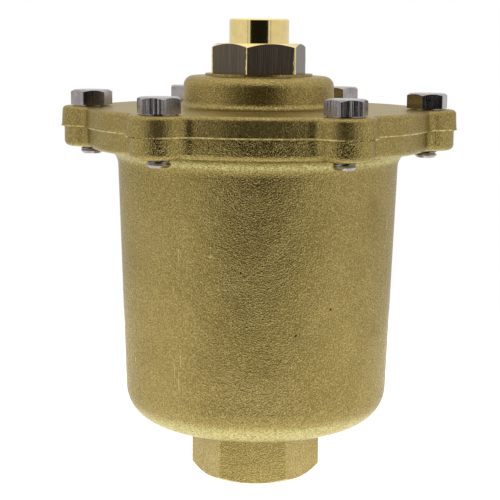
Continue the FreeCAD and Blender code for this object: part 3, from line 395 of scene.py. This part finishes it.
def inner_steel(tree, shader):
    """Drawn and rolled stainless sheet, faintly brushed and water-stained."""
    place = tree.place()
    brush = tree.noise(tree.place((1, 1, 0.04)), 1800.0, 2.0)
    stain = tree.noise(place, 55.0, 3.0, 0.6, 0.5)
    colour = tree.mix(tree.step(stain, 0.45, 0.75), SHEET_CLEAN, SHEET_STAINED)
    tree.feed(shader.inputs["Base Color"], colour)
    tree.feed(shader.inputs["Roughness"], tree.step(brush, 0.3, 0.7, 0.24, 0.38))
    tree.feed(shader.inputs["Normal"], tree.bump(brush, 0.02 * MM))
    shader.inputs["Metallic"].default_value = 1.0


TUBE_CLEAN = rgb(0.70, 0.53, 0.22)
TUBE_BROWN = rgb(0.42, 0.28, 0.12)


def inner_brass(tree, shader):
    """Drawn brass tube with lengthwise lines and a brown bloom."""
    place = tree.place()
    drawn = tree.noise(tree.place((1, 1, 0.02)), 2200.0, 2.0)
    bloom = tree.noise(place, 90.0, 3.0, 0.6)
    colour = tree.mix(tree.step(bloom, 0.4, 0.7), TUBE_CLEAN, TUBE_BROWN)
    tree.feed(shader.inputs["Base Color"], colour)
    tree.feed(shader.inputs["Roughness"], tree.step(bloom, 0.3, 0.7, 0.25, 0.42))
    tree.feed(shader.inputs["Normal"], tree.bump(drawn, 0.02 * MM))
    shader.inputs["Metallic"].default_value = 1.0


GRAPHITE_DARK = rgb(0.035, 0.035, 0.037)
GRAPHITE_LIGHT = rgb(0.085, 0.085, 0.09)


def graphite(tree, shader):
    """Pressed graphite sheet: dark, flaky and slightly shiny."""
    place = tree.place()
    flake = tree.node("TexVoronoi", {"Vector": place, "Scale": 900.0}).outputs["Distance"]
    speck = tree.noise(place, 700.0, 3.0, 0.6)
    colour = tree.mix(tree.step(speck, 0.35, 0.7), GRAPHITE_DARK, GRAPHITE_LIGHT)
    tree.feed(shader.inputs["Base Color"], colour)
    tree.feed(shader.inputs["Roughness"], tree.step(flake, 0.1, 0.8, 0.42, 0.62))
    tree.feed(shader.inputs["Normal"], tree.bump(flake, 0.03 * MM))
    shader.inputs["Specular IOR Level"].default_value = 0.6


BUILDERS = {"cast_brass": cast_brass, "machined_brass": machined_brass, "bolt_steel": bolt_steel,
            "inner_steel": inner_steel, "inner_brass": inner_brass, "gasket": graphite}


def dress_nodes():
    """Give every CAD node the material that its slot in the record names."""
    made = {}
    for part in record["subparts"]:
        slot = part["material_slot"]
        if slot not in made:
            made[slot] = material(slot, BUILDERS[slot])
        slots = nodes[part["node"]].data.materials
        slots.clear()
        slots.append(made[slot])
    return made


# ---------------------------------------------------------------- added pieces

def add_piece(name, mesh_builder, finish, smooth):
    """A new object on the housing. mesh_builder(bm) fills its mesh, and edges sharper than
    smooth degrees stay sharp."""
    bm = bmesh.new()
    mesh_builder(bm)
    bmesh.ops.recalc_face_normals(bm, faces=bm.faces)
    mesh = bpy.data.meshes.new(name)
    bm.to_mesh(mesh)
    bm.free()
    piece = bpy.data.objects.new(name, mesh)
    bpy.context.scene.collection.objects.link(piece)
    mesh.materials.append(finish)
    mesh.shade_smooth()
    mesh.set_sharp_from_angle(angle=math.radians(smooth))
    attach(piece, "housing")
    return piece


def sweep_section(bm, sections, closed):
    """Skin a run of sections, each a list of points, as a closed loop or with flat ends."""
    rings = [[bm.verts.new(point) for point in section] for section in sections]
    count = len(rings[0])
    pairs = list(zip(rings, rings[1:]))
    if closed:
        pairs.append((rings[-1], rings[0]))
    for near, far in pairs:
        for index in range(count):
            after = (index + 1) % count
            bm.faces.new((near[index], near[after], far[after], far[index]))
    if not closed:
        bm.faces.new(rings[0])
        bm.faces.new(list(reversed(rings[-1])))


# A thread's steps to a turn and how many it fades over at each end, half the widths of its foot
# and its crest as shares of its pitch, and the least share of its height that it fades to.
THREAD_STEPS = 48
THREAD_FADE = THREAD_STEPS / 3
THREAD_FOOT = 0.46
THREAD_CREST = 0.06
LEAST_SHARE = 0.02


def thread_ridge(bm, centre, root, crest, pitch, low, high):
    """A helical V ridge round an upright axis, fading out at both ends."""
    steps = int((high - low) / pitch * THREAD_STEPS)
    half = THREAD_FOOT * pitch
    flat = THREAD_CREST * pitch
    sections = []
    for index in range(steps + 1):
        angle = 2 * math.pi * index / THREAD_STEPS
        share = max(LEAST_SHARE, min(1.0, index / THREAD_FADE, (steps - index) / THREAD_FADE))
        top = root + (crest - root) * share
        height = low + pitch * index / THREAD_STEPS
        profile = [(root, -half * share), (top, -flat), (top, flat), (root, half * share)]
        sections.append([Vector((centre[0] + radius * math.cos(angle),
                                 centre[1] + radius * math.sin(angle), height + rise))
                         for radius, rise in profile])
    sweep_section(bm, sections, closed=False)


# Threads to the inch: 14 in a 3/4 inch pipe, 18 in a 3/8 inch one and on a 5/16 inch screw.
INCH = 25.4
INLET_PITCH = INCH / 14 * MM
OUTLET_PITCH = INCH / 18 * MM
SCREW_PITCH = INCH / 18 * MM

# A pipe thread's depth as a share of its pitch, and how far a ridge's root sinks into its wall.
PIPE_THREAD_DEPTH = 0.62
SEATING = 0.04 * MM


def pipe_thread(name, mount_name, pitch, finish):
    """The thread inside one of the two pipe sockets, on the wall that the mount gives."""
    mount = mounts[mount_name]
    wall = mount["dims"]["r_mm"] * MM
    half = mount["dims"]["length_mm"] * MM / 2
    middle = mount["pos_m"][2]
    crest = wall - PIPE_THREAD_DEPTH * pitch
    add_piece(name, lambda bm: thread_ridge(bm, (0, 0), wall + SEATING, crest, pitch,
                                            middle - half + 0.5 * pitch,
                                            middle + half - 0.5 * pitch), finish, smooth=50)


# The cover screws: their number, the length under the head, the radii of core and crest, the
# bevel at the tip and how much of the CAD shank stays under the head.
SCREW_COUNT = 6
SCREW_LENGTH = 16.7 * MM
SCREW_CORE = 3.25 * MM
SCREW_CREST = 3.95 * MM
TIP_BEVEL = 0.85 * MM
KEPT_SHANK = 0.2 * MM
CORE_STEPS = 32
SAME_WAY = 0.9
CLOSE = 0.02 * MM


def screw_axes(low):
    """Where each cover screw's axis crosses the XY plane, from the rings at the tips."""
    tips = [vertex.co for vertex in nodes["cover_bolts"].data.vertices
            if vertex.co.z < low + CLOSE]
    axes = []
    for index in range(SCREW_COUNT):
        angle = 2 * math.pi * index / SCREW_COUNT
        toward = Vector((math.cos(angle), math.sin(angle), 0))
        own = [tip for tip in tips if tip.xy.normalized().dot(toward.xy) > SAME_WAY]
        reach = [tip.dot(toward) for tip in own]
        axes.append(toward * (min(reach) + max(reach)) / 2)
    return axes


def round_section(axis, radius, height):
    """The points of a level circle round an upright axis."""
    angles = [2 * math.pi * step / CORE_STEPS for step in range(CORE_STEPS)]
    return [Vector((axis.x + radius * math.cos(angle), axis.y + radius * math.sin(angle), height))
            for angle in angles]


def add_screws(finish):
    """The cover screws with real threads: the CAD heads on threaded shanks."""
    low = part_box("cover_bolts")[0][2]
    under_head = low + SCREW_LENGTH
    axes = screw_axes(low)

    def build(bm):
        bm.from_mesh(nodes["cover_bolts"].data)
        everything = bm.verts[:] + bm.edges[:] + bm.faces[:]
        cut = bmesh.ops.bisect_plane(bm, geom=everything, plane_co=(0, 0, under_head - KEPT_SHANK),
                                     plane_no=(0, 0, -1), clear_outer=True)
        rims = [item for item in cut["geom_cut"] if isinstance(item, bmesh.types.BMEdge)]
        bmesh.ops.holes_fill(bm, edges=rims)
        # The bevelled tip, a short collar as wide as the crest, and the core up to the head.
        outline = [(SCREW_CREST - TIP_BEVEL, low), (SCREW_CREST, low + TIP_BEVEL),
                   (SCREW_CREST, low + 1.2 * TIP_BEVEL), (SCREW_CORE, low + 1.9 * TIP_BEVEL),
                   (SCREW_CORE, under_head)]
        for axis in axes:
            sections = [round_section(axis, radius, height) for radius, height in outline]
            sweep_section(bm, sections, closed=False)
            thread_ridge(bm, axis, SCREW_CORE - SEATING, SCREW_CREST, SCREW_PITCH,
                         low + TIP_BEVEL, under_head - 0.8 * SCREW_PITCH)

    piece = add_piece("cover_screws", build, finish, smooth=32)
    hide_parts("cover_bolts")


# The burr: the distance between its points, how far it reaches, how that swells along the edge,
# the points from one swell to the next, and the share of the edge's reach that leaves out holes.
BURR_STEP = 0.45 * MM
BURR_REACH = (0.16 * MM, 0.48 * MM)
BURR_SWELL = (0.5, 1.15)
BURR_WAVE = 14
OUTER_SHARE = 0.79
BURR_SEED = 4

# The burr's section from its upper root by its tip to its lower root: each corner's place inside
# the cover's edge and above the joint.
UPPER_ROOT = (0.30 * MM, 0.32 * MM)
LOWER_ROOT = (0.40 * MM, -0.34 * MM)
TIP_HIGH = 0.10 * MM
TIP_LOW = -0.16 * MM


def outer_edge(name, height):
    """The corner points of a node's outermost edge at that height, in order round the axis."""
    furthest = {}
    for vertex in nodes[name].data.vertices:
        if abs(vertex.co.z - height) > CLOSE:
            continue
        place = round(math.degrees(math.atan2(vertex.co.y, vertex.co.x)), 1)
        if place not in furthest or vertex.co.xy.length > furthest[place].xy.length:
            furthest[place] = vertex.co.copy()
    holes = OUTER_SHARE * max(point.xy.length for point in furthest.values())
    return [furthest[place] for place in sorted(furthest) if furthest[place].xy.length > holes]


def even_steps(points, step):
    """Evenly spaced points along a closed run."""
    result = []
    for start, end in zip(points, points[1:] + points[:1]):
        count = max(1, round((end - start).length / step))
        result += [start.lerp(end, index / count) for index in range(count)]
    return result


def ragged_reach(count):
    """How far the burr reaches at each point: ragged, and swelling slowly along the edge."""
    draw = random.Random(BURR_SEED)
    swells = [draw.uniform(*BURR_SWELL) for index in range(count // BURR_WAVE + 2)]
    reach = []
    for index in range(count):
        whole, part = divmod(index / BURR_WAVE, 1.0)
        swell = swells[int(whole)] * (1 - part) + swells[int(whole) + 1] * part
        reach.append(swell * draw.uniform(*BURR_REACH))
    return [(reach[index - 1] + 2 * reach[index] + reach[(index + 1) % count]) / 4
            for index in range(count)]


def add_burr(finish):
    """The thin, ragged burr that trimming left along the cover's lower edge."""
    points = even_steps(outer_edge("cover", JOINT), BURR_STEP)
    count = len(points)
    reach = ragged_reach(count)
    up = Vector((0, 0, 1))

    def build(bm):
        sections = []
        for index, point in enumerate(points):
            along = (points[(index + 1) % count] - points[index - 1]).normalized()
            out = along.cross(up)
            tip = point + out * reach[index]
            for axis in (0, 1):
                tip[axis] = max(cad_box[0][axis], min(cad_box[1][axis], tip[axis]))
            sections.append([point - UPPER_ROOT[0] * out + UPPER_ROOT[1] * up, tip + TIP_HIGH * up,
                             tip + TIP_LOW * up, point - LOWER_ROOT[0] * out + LOWER_ROOT[1] * up])
        sweep_section(bm, sections, closed=True)

    add_piece("cover_edge_burr", build, finish, smooth=80)


# ---------------------------------------------------------------- stage, light and camera

# The tent's brightness at its walls and its top, and the angle from level where the top begins.
TENT_LEVEL = 0.79
TENT_TOP = 1.15
TENT_TOP_AT = math.radians(70)

# The opening: its brightness, its angles to each side and upward, and a seam beside it.
OPENING_LEVEL = 0.012
OPENING_HALF = math.radians(35)
OPENING_TOP = math.radians(34)
SEAM_AT = math.radians(44.5)
SEAM_LEVEL = 0.25
SOFT_EDGE = math.radians(0.8)
SOFT_TOP = 6 * SOFT_EDGE

# The floor: its glow as the trap sees it, near and far from the axis, and as the lens sees it.
FLOOR_RADIUS = 0.3
FLOOR_SIDES = 96
FLOOR_GREY = rgb(0.2, 0.2, 0.2)
FLOOR_SEEN = 1.3
GLOW_NEAR = 1.40
GLOW_FAR = 0.93
GLOW_EDGES = (0.035, 0.085)


def make_floor():
    """A round, plain, pale floor that glows: white to the lens, and to the trap a painted pool of
    light, brighter near its axis.
    """
    mesh = bpy.data.meshes.new("floor")
    angles = [2 * math.pi * side / FLOOR_SIDES for side in range(FLOOR_SIDES)]
    rim = [(FLOOR_RADIUS * math.cos(angle), FLOOR_RADIUS * math.sin(angle), cad_box[0][2])
           for angle in angles]
    mesh.from_pydata(rim, [], [list(range(FLOOR_SIDES))])
    floor = bpy.data.objects.new("floor", mesh)
    bpy.context.scene.collection.objects.link(floor)

    def pale(tree, shader):
        shader.inputs["Base Color"].default_value = FLOOR_GREY
        shader.inputs["Roughness"].default_value = 0.9
        shader.inputs["Emission Color"].default_value = rgb(1, 1, 1)
        # Painted pool of light: the floor glows brighter near the trap's axis.
        glow = tree.step(tree.from_axis(tree.place()), *GLOW_EDGES, GLOW_NEAR, GLOW_FAR)
        seen = tree.node("LightPath").outputs["Is Camera Ray"]
        tree.feed(shader.inputs["Emission Strength"],
                  tree.node("Mix", {"Factor": seen, "A": glow, "B": FLOOR_SEEN}))

    floor.data.materials.append(material("floor_glow", pale))


def make_tent():
    """A white light tent: bright walls and top, and a dark opening where the lens looks in."""
    world = bpy.data.worlds.new("tent")
    bpy.context.scene.world = world
    world.use_nodes = True
    tree = Tree(world.node_tree)
    direction = tree.node("TexCoord").outputs["Generated"]
    turned = tree.node("Mapping", {"Vector": direction, "Rotation": (0, 0, -CAMERA_TURN)})
    x, y, z = tree.split(turned)
    side = tree.maths("ABSOLUTE", tree.maths("ARCTAN2", x, tree.maths("MULTIPLY", y, -1.0)))
    rise = tree.maths("ARCSINE", z)
    between_sides = tree.step(side, OPENING_HALF - SOFT_EDGE, OPENING_HALF + SOFT_EDGE, 1.0, 0.0)
    below_top = tree.step(rise, OPENING_TOP - SOFT_TOP, OPENING_TOP + SOFT_TOP, 1.0, 0.0)
    dark = tree.maths("MULTIPLY", between_sides, below_top)
    from_seam = tree.maths("ABSOLUTE", tree.maths("SUBTRACT", side, SEAM_AT))
    seam = tree.step(from_seam, SOFT_EDGE, 2 * SOFT_EDGE, 1.0 - SEAM_LEVEL, 0.0)
    level = tree.step(rise, 0.0, TENT_TOP_AT, TENT_LEVEL, TENT_TOP)
    level = tree.maths("MULTIPLY", level, tree.maths("SUBTRACT", 1.0, seam))
    level = tree.maths("MULTIPLY", level, tree.between(dark, 1.0, OPENING_LEVEL))
    tent = tree.node("Background", {"Color": rgb(1, 1, 1), "Strength": level})
    white = tree.node("Background", {"Color": rgb(1, 1, 1), "Strength": 1.0})
    seen = tree.node("LightPath").outputs["Is Camera Ray"]
    both = tree.node("MixShader", {"Fac": seen})
    tree.feed(both.inputs[1], tent)
    tree.feed(both.inputs[2], white)
    tree.feed(tree.node("OutputWorld").inputs["Surface"], both)


def make_camera():
    data = bpy.data.cameras.new("camera")
    data.lens = CAMERA_LENS
    data.sensor_width = 36.0
    data.shift_x = CAMERA_SHIFT
    data.clip_start = 0.01
    camera = bpy.data.objects.new("camera", data)
    camera.location = CAMERA_PLACE
    turn = Matrix.Rotation(CAMERA_TURN, 3, "Z")
    tilt = Matrix.Rotation(math.radians(90 - CAMERA_DOWN), 3, "X")
    roll = Matrix.Rotation(math.radians(CAMERA_ROLL), 3, "Z")
    camera.rotation_euler = (turn @ tilt @ roll).to_euler("XYZ")
    bpy.context.scene.collection.objects.link(camera)
    bpy.context.scene.camera = camera


finishes = dress_nodes()
pipe_thread("inlet_thread", "inlet", INLET_PITCH, finishes["cast_brass"])
pipe_thread("outlet_thread", "outlet", OUTLET_PITCH, finishes["machined_brass"])
add_screws(finishes["bolt_steel"])
add_burr(material("bright_burr", bright_burr))
make_floor()
make_tent()
make_camera()
bpy.context.scene.view_settings.view_transform = "Standard"
